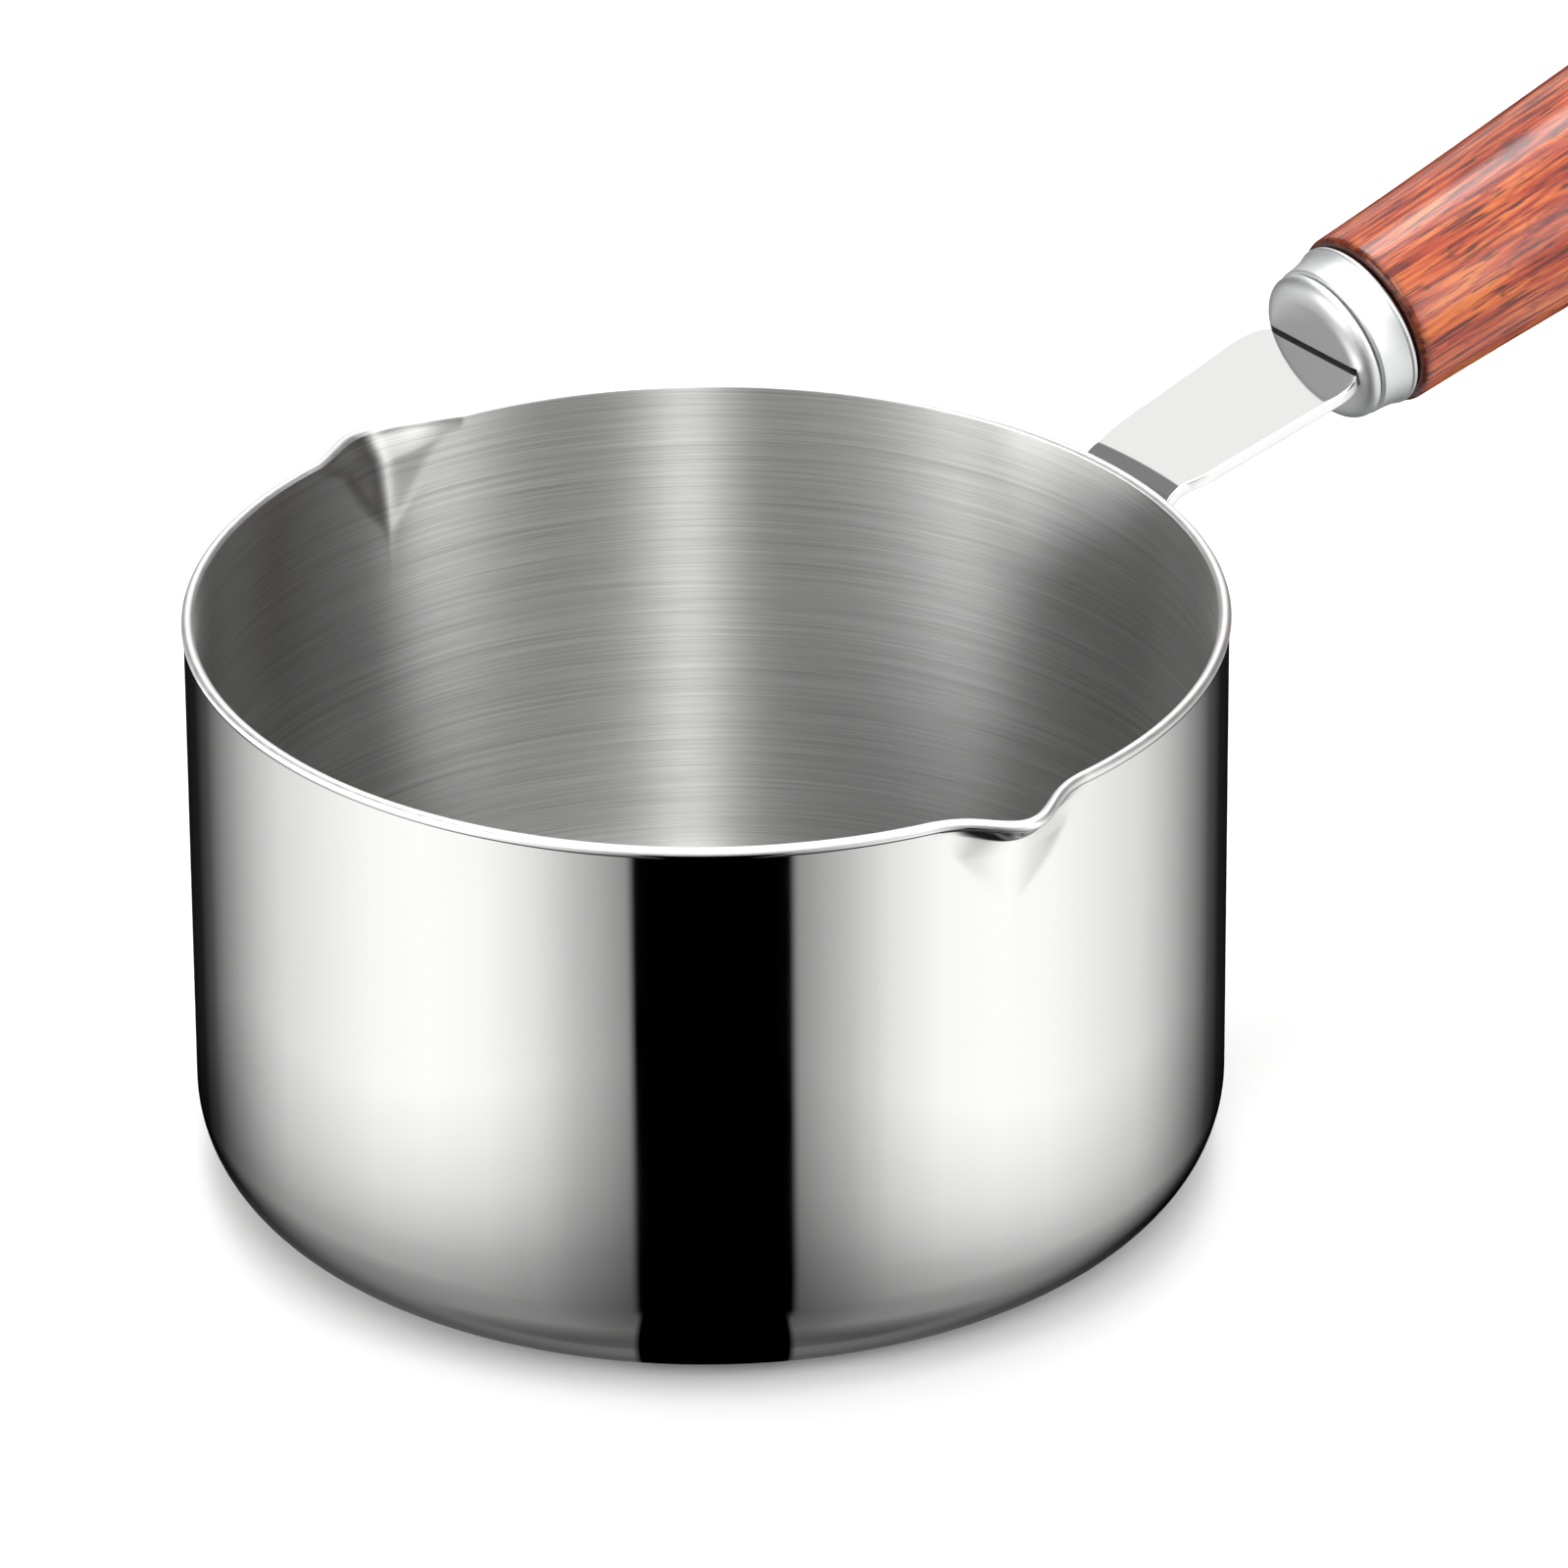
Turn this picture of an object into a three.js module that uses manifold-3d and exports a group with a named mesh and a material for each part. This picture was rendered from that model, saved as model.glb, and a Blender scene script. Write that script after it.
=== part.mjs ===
// A small steel saucepan with two pouring spouts and a wooden handle.
// The bowl is pressed from one sheet, a bent steel strip is welded to its wall, and a tie rod on the
// strip's tongue draws a ferrule, a turned grip and an end cap together. A ring hangs from the eye nut.
// Millimetres. The base is centred on the origin and stands on z = 0, +X runs along the handle, +Z is up.

import * as THREE from 'three';
import { LoftGeometry } from 'three/addons/geometries/LoftGeometry.js';
import { mergeVertices } from 'three/addons/utils/BufferGeometryUtils.js';
import Module from 'manifold-3d';

const wasm = await Module();
wasm.setup();

const radians = THREE.MathUtils.degToRad;

// Bowl
const bowlDiameter = 100;
const bowlHeight = 58.9;
const bowlWall = 1.0;
const baseCornerRadius = 9.8;
const lipFlare = 0.3;
const lipHeight = 1.4;

// Pouring spouts, one on each side of the handle
const spoutBearing = radians(91.5);
const spoutWidth = 16;
const spoutHeight = 9.7;
const spoutReach = 3.0;
const spoutDip = 0.5;
const spoutCurl = 0.5;
const spoutTipSoftness = 0.35;
const spoutCreaseSoftness = 0.08;
const spoutNarrowing = 0.6;

// Handle strip: weld plate on the wall, bend, arm, tang in the ferrule's slot and tongue in the grip
const stripThickness = 1.2;
const plateWidth = 26;
const plateHeight = 30;
const plateCornerRadius = 6;
const neckWidth = 13;
const neckBlend = 8;
const bendRadius = 3.6;
const bendDrop = 0.8;
const handlePitch = radians(14.5);
const armLength = 22.1;
const armRootWidth = 14.4;
const armRootFlare = 4;
const armWidth = 16.2;
const shoulderLength = 3.5;
const tangWidth = 12.6;
const tangChamfer = 0.2;
const tongueWidth = 7;
const tongueLength = 18;
const stripDrop = 0.3;

// Ferrule
const ferruleLength = 6.1;
const ferruleSheet = 0.8;
const noseDiameter = 15.9;
const noseLength = 1.8;
const noseRounding = 1.6;
const creaseLength = 0.3;
const collarFrontDiameter = 16.3;
const collarRearDiameter = 17.5;

// Wooden grip
const gripLength = 92;
const gripFrontDiameter = 18.4;
const gripFrontRounding = 0.9;
const gripFrontSlope = 0.016;
const gripSwellDiameter = 22.2;
const gripSwellPlace = 62;
const gripEndDiameter = 16.5;
const gripEndRounding = 1.5;
const gripEndSlope = 0.25;

// Tie rod, end cap and eye nut
const rodDiameter = 5;
const forkLength = 9;
const capDiameter = 15.5;
const capRim = 1.0;
const capThickness = 2.4;
const bossDiameter = 7;
const threadDepth = 5;
const threadWeb = 1.5;
const eyeWall = 3.4;
const eyeThickness = 4.5;

// Hanging ring
const ringInsideDiameter = 20;
const ringWire = 2.6;

// Clearances
const fitGap = 0.3;
const ringPlay = 0.5;

// Facets
const spoutSteps = 16;
const spoutFacetReach = 1.5;
const wallSteps = 28;
const cornerSteps = 5;
const spoutRings = 4;
const plateFacets = 8;
const turnedFacets = 32;
const rodFacets = 20;
const ringFacets = 32;
const wireFacets = 10;
const arcSteps = 4;
const curveSteps = 4;

// Finishes
const polishedSteel = new THREE.MeshStandardMaterial({ color: 0xd9dbdc, metalness: 1, roughness: 0.12 });
const satinSteel = new THREE.MeshStandardMaterial({ color: 0xcfd1d2, metalness: 1, roughness: 0.3 });
const lacqueredWood = new THREE.MeshStandardMaterial({ color: 0xb4512f, metalness: 0, roughness: 0.35 });

function named(name, geometry, material) {
  const mesh = new THREE.Mesh(geometry, material);
  mesh.name = name;
  return mesh;
}

// Shared corners and no other attributes, ready to be joined or cut.
function solid(geometry) {
  const bare = geometry.clone();
  bare.deleteAttribute('normal');
  bare.deleteAttribute('uv');
  const merged = mergeVertices(bare);
  return new wasm.Manifold(new wasm.Mesh({
    numProp: 3,
    vertProperties: new Float32Array(merged.attributes.position.array),
    triVerts: new Uint32Array(merged.index.array),
  }));
}

function geometryOf(body) {
  const { vertProperties, triVerts } = body.getMesh();
  const geometry = new THREE.BufferGeometry();
  geometry.setAttribute('position', new THREE.BufferAttribute(new Float32Array(vertProperties), 3));
  geometry.setIndex(new THREE.BufferAttribute(new Uint32Array(triVerts), 1));
  return geometry;
}

// A turned piece: the outline's x is the radius and its y runs along the handle.
function turned(outline, facets = turnedFacets) {
  return new THREE.LatheGeometry(outline.getPoints(curveSteps), facets);
}

// Even values from one end to the other, without the first.
function steps(from, to, count) {
  return Array.from({ length: count }, (_, i) => from + (to - from) * (i + 1) / count);
}

// Bowl
const bowlRadius = bowlDiameter / 2;
const spoutHalfAngle = spoutWidth / 2 / bowlRadius;

// Push of a spout across its width: 1 on the middle line, a rounded tip, soft creases where x is 1.
function spoutAcross(x) {
  const fall = Math.hypot(x, spoutTipSoftness) - spoutTipSoftness;
  const wholeFall = Math.hypot(1, spoutTipSoftness) - spoutTipSoftness;
  const push = 1 - fall / wholeFall;
  return (push + Math.hypot(push, spoutCreaseSoftness)) / 2;
}

// Share of the full push at an azimuth and a height: it grows from the spout's foot to the rim.
function spoutShare(azimuth, z) {
  const rise = (z - bowlHeight + spoutHeight) / spoutHeight;
  if (rise <= 0) return 0;
  const halfAngle = spoutHalfAngle * rise ** spoutNarrowing;
  const offset = (Math.abs(azimuth) - spoutBearing) / halfAngle;
  return rise * spoutAcross(offset);
}

// Share of the lip's outward flare, from none at its foot to all of it at the rim.
function lipShare(z) {
  return Math.max(0, (z - bowlHeight + lipHeight) / lipHeight);
}

// Azimuths from -180 to 180 degrees, close together across the spouts.
function bowlAzimuths() {
  const reach = spoutFacetReach * spoutHalfAngle;
  const near = spoutBearing - reach;
  const far = spoutBearing + reach;
  return [
    ...steps(-Math.PI, -far, wallSteps / 2),
    ...steps(-far, -near, spoutSteps),
    ...steps(-near, near, wallSteps),
    ...steps(near, far, spoutSteps),
    ...steps(far, Math.PI, wallSteps / 2),
  ];
}

// The bowl's wall as radius and height: from the flat base up the outside, over the lip, down the inside
// and to the middle of the floor.
function bowlOutline() {
  const flatRadius = bowlRadius - baseCornerRadius;
  const lipMiddle = bowlRadius - bowlWall / 2;
  const spoutFoot = bowlHeight - spoutHeight;
  const wallTop = bowlHeight - lipHeight;
  const wallHeights = [spoutFoot, ...steps(spoutFoot, wallTop, spoutRings)];
  const corner = (radius, angle) => [
    flatRadius + radius * Math.sin(angle),
    baseCornerRadius - radius * Math.cos(angle),
  ];
  const lip = (angle) => [
    lipMiddle + bowlWall / 2 * Math.cos(angle),
    bowlHeight - bowlWall / 2 + bowlWall / 2 * Math.sin(angle),
  ];
  const cornerAngles = [0, ...steps(0, Math.PI / 2, cornerSteps)];
  const lipAngles = [0, ...steps(0, Math.PI, arcSteps)];
  return [
    ...cornerAngles.map((angle) => corner(baseCornerRadius, angle)),
    ...wallHeights.map((z) => [bowlRadius, z]),
    ...lipAngles.map(lip),
    ...wallHeights.toReversed().map((z) => [bowlRadius - bowlWall, z]),
    ...cornerAngles.toReversed().map((angle) => corner(baseCornerRadius - bowlWall, angle)),
    [0, bowlWall],
  ];
}

function bowl() {
  const azimuths = bowlAzimuths();
  const rings = bowlOutline().map(([radius, z]) => azimuths.map((azimuth) => {
    const share = spoutShare(azimuth, z);
    const r = radius + spoutReach * share + (lipFlare + spoutCurl * share) * lipShare(z);
    return new THREE.Vector3(r * Math.cos(azimuth), r * Math.sin(azimuth), z - spoutDip * share);
  }));
  return named('pan_body', new LoftGeometry(rings, { capStart: true }), polishedSteel);
}

// Handle strip, followed along its middle surface from the foot of the weld plate
const plateRadius = bowlRadius + fitGap + stripThickness / 2;
const bendMiddleRadius = bendRadius + stripThickness / 2;
const bendTurn = Math.PI / 2 - handlePitch;
const bendCentreX = plateRadius + bendMiddleRadius;
const bendCentreZ = bowlHeight - bendDrop - (bendRadius + stripThickness) * Math.cos(handlePitch);
const armStartX = bendCentreX - bendMiddleRadius * Math.cos(bendTurn);
const armStartZ = bendCentreZ + bendMiddleRadius * Math.sin(bendTurn);
const bendStart = plateHeight;
const armStart = bendStart + bendMiddleRadius * bendTurn;
const faceStart = armStart + armLength;
const tangEnd = faceStart + ferruleSheet + fitGap;
const tongueStart = tangEnd + tangChamfer;
const tongueEnd = tongueStart + tongueLength;

// Place on the middle surface, the side that faces away from the bowl, and how much of the wall's
// curve is left.
function stripPlace(along) {
  if (along <= bendStart) {
    return { x: plateRadius, z: bendCentreZ - bendStart + along, nx: 1, nz: 0, curl: 1 };
  }
  if (along <= armStart) {
    const turn = (along - bendStart) / bendMiddleRadius;
    const nx = Math.cos(turn);
    const nz = -Math.sin(turn);
    return {
      x: bendCentreX - bendMiddleRadius * nx,
      z: bendCentreZ - bendMiddleRadius * nz,
      nx,
      nz,
      curl: 1 - turn / bendTurn,
    };
  }
  const reach = along - armStart;
  return {
    x: armStartX + reach * Math.cos(handlePitch),
    z: armStartZ + reach * Math.sin(handlePitch),
    nx: Math.sin(handlePitch),
    nz: -Math.cos(handlePitch),
    curl: 0,
  };
}

function stripWidth(along) {
  const { lerp, smoothstep } = THREE.MathUtils;
  const shoulderStart = faceStart - shoulderLength;
  const rootEnd = armStart + armRootFlare;
  if (along < plateCornerRadius) {
    const below = plateCornerRadius - along;
    return plateWidth - 2 * (plateCornerRadius - Math.sqrt(plateCornerRadius ** 2 - below ** 2));
  }
  if (along <= bendStart) {
    return lerp(plateWidth, neckWidth, smoothstep(along, bendStart - neckBlend, bendStart));
  }
  if (along <= armStart) return neckWidth;
  if (along <= rootEnd) return lerp(armRootWidth, neckWidth, ((rootEnd - along) / armRootFlare) ** 2);
  if (along <= shoulderStart) {
    return lerp(armRootWidth, armWidth, (along - rootEnd) / (shoulderStart - rootEnd));
  }
  if (along <= faceStart) {
    const share = (along - shoulderStart) / shoulderLength;
    return lerp(tangWidth, armWidth, Math.sqrt(1 - share ** 2));
  }
  return along <= tangEnd ? tangWidth : tongueWidth;
}

function stripSection(along) {
  const { x, z, nx, nz, curl } = stripPlace(along);
  const width = stripWidth(along);
  const side = (offset, across) => {
    const radius = plateRadius + offset;
    const turn = across / plateRadius;
    const outward = offset + curl * radius * (Math.cos(turn) - 1);
    const sideways = across + curl * (radius * Math.sin(turn) - across);
    return new THREE.Vector3(x + outward * nx, sideways, z + outward * nz);
  };
  const places = [-width / 2, ...steps(-width / 2, width / 2, plateFacets)];
  return [
    ...places.map((across) => side(stripThickness / 2, across)),
    ...places.toReversed().map((across) => side(-stripThickness / 2, across)),
  ];
}

function handleStrip() {
  const cornerAngles = steps(0, Math.PI / 2, arcSteps);
  const stations = [
    0,
    ...cornerAngles.map((angle) => plateCornerRadius * (1 - Math.cos(angle))),
    ...steps(bendStart - neckBlend, bendStart, arcSteps),
    ...steps(bendStart, armStart, cornerSteps),
    ...steps(armStart, armStart + armRootFlare, arcSteps),
    faceStart - shoulderLength,
    ...cornerAngles.map((angle) => faceStart - shoulderLength * (1 - Math.sin(angle))),
    tangEnd,
    tongueStart,
    tongueEnd,
  ];
  const sections = stations.map(stripSection);
  const tip = stripPlace(tongueEnd);
  const tipMiddle = new THREE.Vector3(tip.x, 0, tip.z);
  sections.push(sections.at(-1).map(() => tipMiddle));
  return named('handle_bracket', new LoftGeometry(sections, { capStart: true }), polishedSteel);
}

// Everything on the handle's axis is placed from the ferrule's face, where y is 0
const ferruleBack = ferruleLength;
const noseRadius = noseDiameter / 2;
const rodRadius = rodDiameter / 2;
const tongueTip = tongueEnd - faceStart;
const tenonFront = ferruleSheet + 2 * fitGap;
const gripFront = ferruleBack + fitGap;
const gripEnd = gripFront + gripLength;
const capFront = gripEnd + fitGap;
const capBack = capFront + capThickness;
const nutFront = capBack + fitGap;
const bossEnd = nutFront + threadDepth + threadWeb;
const eyeHoleRadius = ringWire / 2 + ringPlay;
const eyeCentre = bossEnd + eyeWall;

function ferrule() {
  const front = collarFrontDiameter / 2;
  const rear = collarRearDiameter / 2;
  const creaseEnd = noseLength + creaseLength;
  const roundingX = noseRadius - noseRounding;
  const outline = new THREE.Path();
  outline.moveTo(0, 0);
  outline.lineTo(roundingX, 0);
  outline.absarc(roundingX, noseRounding, noseRounding, -Math.PI / 2, 0);
  outline.lineTo(noseRadius, noseLength);
  outline.lineTo(front, creaseEnd);
  outline.lineTo(rear, ferruleBack);
  outline.lineTo(rear - ferruleSheet, ferruleBack);
  outline.lineTo(front - ferruleSheet, creaseEnd);
  outline.lineTo(noseRadius - ferruleSheet, noseLength);
  outline.absarc(roundingX, noseRounding, noseRounding - ferruleSheet, 0, -Math.PI / 2, true);
  outline.lineTo(0, ferruleSheet);
  const slot = new THREE.BoxGeometry(tangWidth + 2 * fitGap, 2 * tenonFront, stripThickness + 2 * fitGap);
  slot.translate(0, 0, -stripDrop);
  return named('ferrule', geometryOf(solid(turned(outline)).subtract(solid(slot))), satinSteel);
}

function grip() {
  const front = gripFrontDiameter / 2;
  const swell = gripSwellDiameter / 2;
  const end = gripEndDiameter / 2;
  const swellAt = gripFront + gripSwellPlace;
  const endRoundingStart = gripEnd - gripEndRounding;
  const frontThird = gripSwellPlace / 3;
  const endThird = (endRoundingStart - swellAt) / 3;
  const tenonRadius = noseRadius - ferruleSheet - fitGap;
  const rodBore = rodRadius + fitGap;
  const tongueBore = Math.hypot(tongueWidth / 2, stripThickness / 2 + stripDrop) + fitGap;
  const tongueBoreEnd = tongueTip + fitGap;
  const roundingX = front - gripFrontRounding;
  const outline = new THREE.Path();
  outline.moveTo(tongueBore, tenonFront);
  outline.lineTo(tenonRadius, tenonFront);
  outline.lineTo(tenonRadius, gripFront);
  outline.lineTo(roundingX, gripFront);
  outline.absarc(roundingX, gripFront + gripFrontRounding, gripFrontRounding, -Math.PI / 2, 0);
  outline.bezierCurveTo(
    front + gripFrontSlope * frontThird, gripFront + frontThird,
    swell, swellAt - frontThird,
    swell, swellAt,
  );
  outline.bezierCurveTo(
    swell, swellAt + endThird,
    end + gripEndSlope * endThird, endRoundingStart - endThird,
    end, endRoundingStart,
  );
  outline.quadraticCurveTo(end - gripEndRounding / 2, gripEnd, end - gripEndRounding, gripEnd);
  outline.lineTo(rodBore, gripEnd);
  outline.lineTo(rodBore, tongueBoreEnd);
  outline.lineTo(tongueBore, tongueBoreEnd);
  outline.closePath();
  return named('wooden_grip', turned(outline), lacqueredWood);
}

// The rod's front is a sawn fork that straddles the tongue.
function tieRod() {
  const rodFront = tongueTip - forkLength;
  const rodEnd = nutFront + threadDepth - fitGap;
  const outline = new THREE.Path();
  outline.moveTo(0, rodFront);
  outline.lineTo(rodRadius, rodFront);
  outline.lineTo(rodRadius, rodEnd);
  outline.lineTo(0, rodEnd);
  const sawDepth = forkLength + fitGap;
  const saw = new THREE.BoxGeometry(2 * rodDiameter, 2 * sawDepth, stripThickness + 2 * fitGap);
  saw.translate(0, rodFront, -stripDrop);
  return named('tie_rod', geometryOf(solid(turned(outline, rodFacets)).subtract(solid(saw))), satinSteel);
}

function endCap() {
  const bore = rodRadius + fitGap;
  const rim = capDiameter / 2;
  const crown = bossDiameter / 2 + fitGap;
  const outline = new THREE.Path();
  outline.moveTo(bore, capFront);
  outline.lineTo(rim, capFront);
  outline.lineTo(rim, capFront + capRim);
  outline.quadraticCurveTo(rim, capBack, crown, capBack);
  outline.lineTo(bore, capBack);
  outline.closePath();
  return named('end_cap', turned(outline), polishedSteel);
}

function eyeNut() {
  const bossRadius = bossDiameter / 2;
  const eyeRadius = eyeHoleRadius + eyeWall;
  const threadRadius = rodRadius + fitGap;
  const acrossEye = (radius, length) => {
    const drum = new THREE.CylinderGeometry(radius, radius, length, turnedFacets);
    drum.rotateZ(Math.PI / 2);
    drum.translate(0, eyeCentre, 0);
    return solid(drum);
  };
  const bossLength = bossEnd - nutFront;
  const boss = new THREE.CylinderGeometry(bossRadius, bossRadius, bossLength, rodFacets);
  boss.translate(0, nutFront + bossLength / 2, 0);
  const thread = new THREE.CylinderGeometry(threadRadius, threadRadius, 2 * threadDepth, rodFacets);
  thread.translate(0, nutFront, 0);
  const body = solid(boss)
    .add(acrossEye(eyeRadius, eyeThickness))
    .subtract(acrossEye(eyeHoleRadius, 2 * eyeThickness))
    .subtract(solid(thread));
  return named('eye_nut', geometryOf(body), polishedSteel);
}

// The wire runs through the eye along y, and the ring hangs straight down from it.
function hangingRing(eye) {
  const middleRadius = (ringInsideDiameter + ringWire) / 2;
  const mesh = named(
    'hanging_ring',
    new THREE.TorusGeometry(middleRadius, ringWire / 2, wireFacets, ringFacets),
    polishedSteel,
  );
  mesh.rotation.y = Math.PI / 2;
  mesh.position.set(eye.x, eye.y, eye.z - middleRadius);
  return mesh;
}

// Handle group: y along the handle's axis, x across it, z away from the table
const handle = new THREE.Group();
const faceOnStrip = stripPlace(faceStart);
handle.position.set(
  faceOnStrip.x - stripDrop * faceOnStrip.nx,
  0,
  faceOnStrip.z - stripDrop * faceOnStrip.nz,
);
handle.rotation.set(0, -handlePitch, -Math.PI / 2);
handle.add(ferrule(), grip(), tieRod(), endCap(), eyeNut());
handle.updateMatrix();
const eyePlace = new THREE.Vector3(0, eyeCentre, 0).applyMatrix4(handle.matrix);

const saucepan = new THREE.Group();
saucepan.add(bowl(), handleStrip(), handle, hangingRing(eyePlace));

export default saucepan;
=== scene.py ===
# A small steel saucepan with two pouring spouts and a wooden handle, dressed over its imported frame.
import math

import bmesh
import bpy
import numpy as np
from mathutils import Matrix, Vector


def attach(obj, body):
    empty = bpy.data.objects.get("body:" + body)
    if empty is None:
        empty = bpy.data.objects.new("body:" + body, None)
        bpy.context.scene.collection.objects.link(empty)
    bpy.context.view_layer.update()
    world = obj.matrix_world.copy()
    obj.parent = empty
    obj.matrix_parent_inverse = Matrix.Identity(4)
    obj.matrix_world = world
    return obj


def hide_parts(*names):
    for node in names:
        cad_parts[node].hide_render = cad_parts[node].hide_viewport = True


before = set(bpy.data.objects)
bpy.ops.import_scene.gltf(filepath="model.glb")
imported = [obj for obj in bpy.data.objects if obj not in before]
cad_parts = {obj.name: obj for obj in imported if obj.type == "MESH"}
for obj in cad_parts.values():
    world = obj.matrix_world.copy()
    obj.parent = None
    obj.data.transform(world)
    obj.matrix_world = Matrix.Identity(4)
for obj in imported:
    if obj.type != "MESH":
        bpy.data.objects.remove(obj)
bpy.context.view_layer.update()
mm = 0.001  # sizes below are in millimetres, Blender's in metres


# Camera, at the photograph's angle
photo = {
    "azimuth": -37.392, "elevation": 27.469, "roll": -0.384,  # degrees
    "distance": 1209.5, "aim": (8.42, -1.02, 37.43),
    "lens": 287.2, "sensor": 36.0,
}


def placeCamera():
    azimuth = math.radians(photo["azimuth"])
    elevation = math.radians(photo["elevation"])
    roll = math.radians(photo["roll"])
    back = Vector((math.sin(azimuth) * math.cos(elevation), -math.cos(azimuth) * math.cos(elevation),
                   math.sin(elevation)))
    right = Vector((0, 0, 1)).cross(back).normalized()
    up = back.cross(right)
    rolledRight = right * math.cos(roll) + up * math.sin(roll)
    rolledUp = up * math.cos(roll) - right * math.sin(roll)
    lens = bpy.data.cameras.new("photoCamera")
    lens.lens = photo["lens"]
    lens.sensor_width = photo["sensor"]
    camera = bpy.data.objects.new("photoCamera", lens)
    turn = Matrix((rolledRight, rolledUp, back)).transposed().to_4x4()
    place = Vector(photo["aim"]) * mm + back * photo["distance"] * mm
    camera.matrix_world = Matrix.Translation(place) @ turn
    bpy.context.scene.collection.objects.link(camera)
    bpy.context.scene.camera = camera
    return back


towardsCamera = placeCamera()
print("camera placed")


# Shared helpers
# sRGB hex to linear: below the toe a straight line, above it a 2.4 power.
def linearColour(code):
    channels = np.array([int(code[i:i + 2], 16) for i in (1, 3, 5)]) / 255
    linear = np.where(channels <= 0.04045, channels / 12.92, ((channels + 0.055) / 1.055) ** 2.4)
    return (*linear, 1.0)


# Adds one node. Settings go to its sockets, by name or number, or its properties. Links bring in outputs.
def addNode(tree, kind, settings=None, links=None):
    node = tree.nodes.new("ShaderNode" + kind)
    for name, value in (settings or {}).items():
        if name == "stops":
            first, *middle, last = value
            for element, (place, colour) in zip(node.color_ramp.elements, (first, last)):
                element.position = place
                element.color = colour
            for place, colour in middle:
                node.color_ramp.elements.new(place).color = colour
        elif isinstance(name, int) or name in node.inputs:
            node.inputs[name].default_value = value
        else:
            setattr(node, name, value)
    for name, (source, output) in (links or {}).items():
        tree.links.new(source.outputs[output], node.inputs[name])
    return node


def newMaterial(name):
    material = bpy.data.materials.new(name)
    material.use_nodes = True
    material.node_tree.nodes.clear()
    return material, material.node_tree


sharpFrom = 40  # degrees between two faces, from which their edge is sharp
mergeDistance = 0.0005  # mm


# Mesh from a grid of points in mm (rows, columns, xyz). Columns wrap round, and rows too where ring is set.
# Rows that shrink to a point or a line close when doubles are merged. Faces are turned to point out.
def gridMesh(name, points, ring=False, rowMaterial=None, brush=None):
    rows, columns = points.shape[:2]
    index = np.arange(rows * columns).reshape(rows, columns)
    below = index if ring else index[:-1]
    above = np.roll(index, -1, axis=0) if ring else index[1:]
    quads = np.stack([below, np.roll(below, -1, axis=1), np.roll(above, -1, axis=1), above], axis=-1)
    across = np.arange(columns)[None, :, None] + np.array([0, 1, 1, 0])
    along = np.arange(len(below))[:, None, None] + np.array([0, 0, 1, 1])
    uv = np.stack(np.broadcast_arrays(across / columns, along / len(below)), axis=-1)
    flat = points.reshape(-1, 3)
    a, b, c, d = (flat[quads[..., i]] for i in range(4))
    volume = np.sum(a * np.cross(b, c)) + np.sum(a * np.cross(c, d))
    if volume < 0:
        quads = quads[..., ::-1]
        uv = uv[..., ::-1, :]
    mesh = bpy.data.meshes.new(name)
    mesh.from_pydata((flat * mm).tolist(), [], quads.reshape(-1, 4).tolist())
    mesh.uv_layers.new(name="wrap").data.foreach_set("uv", np.ascontiguousarray(uv).ravel())
    if rowMaterial is not None:
        mesh.polygons.foreach_set("material_index", np.repeat(rowMaterial, columns))
    if brush is not None:
        attribute = mesh.attributes.new("brush", "FLOAT_VECTOR", "POINT")
        attribute.data.foreach_set("vector", (brush * mm).ravel())
    work = bmesh.new()
    work.from_mesh(mesh)
    bmesh.ops.remove_doubles(work, verts=work.verts, dist=mergeDistance * mm)
    work.to_mesh(mesh)
    work.free()
    mesh.polygons.foreach_set("use_smooth", np.ones(len(mesh.polygons), bool))
    mesh.set_sharp_from_angle(angle=math.radians(sharpFrom))
    return mesh


# Joins or cuts one mesh with another, and gives back the result as a mesh of its own.
def combine(name, mesh, other, operation, sharpAngle=sharpFrom):
    body = bpy.data.objects.new(name, mesh)
    tool = bpy.data.objects.new(name + "Tool", other)
    for item in (body, tool):
        bpy.context.scene.collection.objects.link(item)
    cut = body.modifiers.new("combine", "BOOLEAN")
    cut.operation = operation
    cut.solver = "EXACT"
    cut.object = tool
    result = bpy.data.meshes.new_from_object(body.evaluated_get(bpy.context.evaluated_depsgraph_get()))
    result.name = name
    bpy.data.objects.remove(body)
    bpy.data.objects.remove(tool)
    result.polygons.foreach_set("use_smooth", np.ones(len(result.polygons), bool))
    result.set_sharp_from_angle(angle=math.radians(sharpAngle))
    return result


def addPiece(name, mesh, body, node, slotName, *materials):
    piece = bpy.data.objects.new(name, mesh)
    for material in materials:
        mesh.materials.append(material)
    bpy.context.scene.collection.objects.link(piece)
    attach(piece, body)
    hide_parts(node)
    print("piece:", name, len(mesh.polygons), "faces for", node)
    return piece


# Points on an arc: centre, radius, first and last angle in degrees.
def arc(x, y, radius, first, last, count):
    angle = np.radians(np.linspace(first, last, count))
    return np.stack([x + radius * np.cos(angle), y + radius * np.sin(angle)], axis=-1)


# Points on a cubic curve drawn by four control points: the terms of (1 - t + t) cubed weigh them.
def spline(p0, p1, p2, p3, count):
    t = np.linspace(0, 1, count)[:, None]
    p0, p1, p2, p3 = (np.array(p, float) for p in (p0, p1, p2, p3))
    return (1 - t) ** 3 * p0 + 3 * t * (1 - t) ** 2 * p1 + 3 * t ** 2 * (1 - t) * p2 + t ** 3 * p3


# Points of a profile that are given one by one.
def stretch(*points):
    return np.array(points, float)


# Angles round a full turn, without the last one.
def fullTurn(count):
    return np.linspace(0, 2 * math.pi, count, endpoint=False)


# Smooth step from 0 to 1: three squares less two cubes.
def smoothStep(t):
    t = np.clip(t, 0, 1)
    return t * t * (3 - 2 * t)


noiseSpan = (0.3, 0.7)  # where most of a noise's values lie

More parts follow.
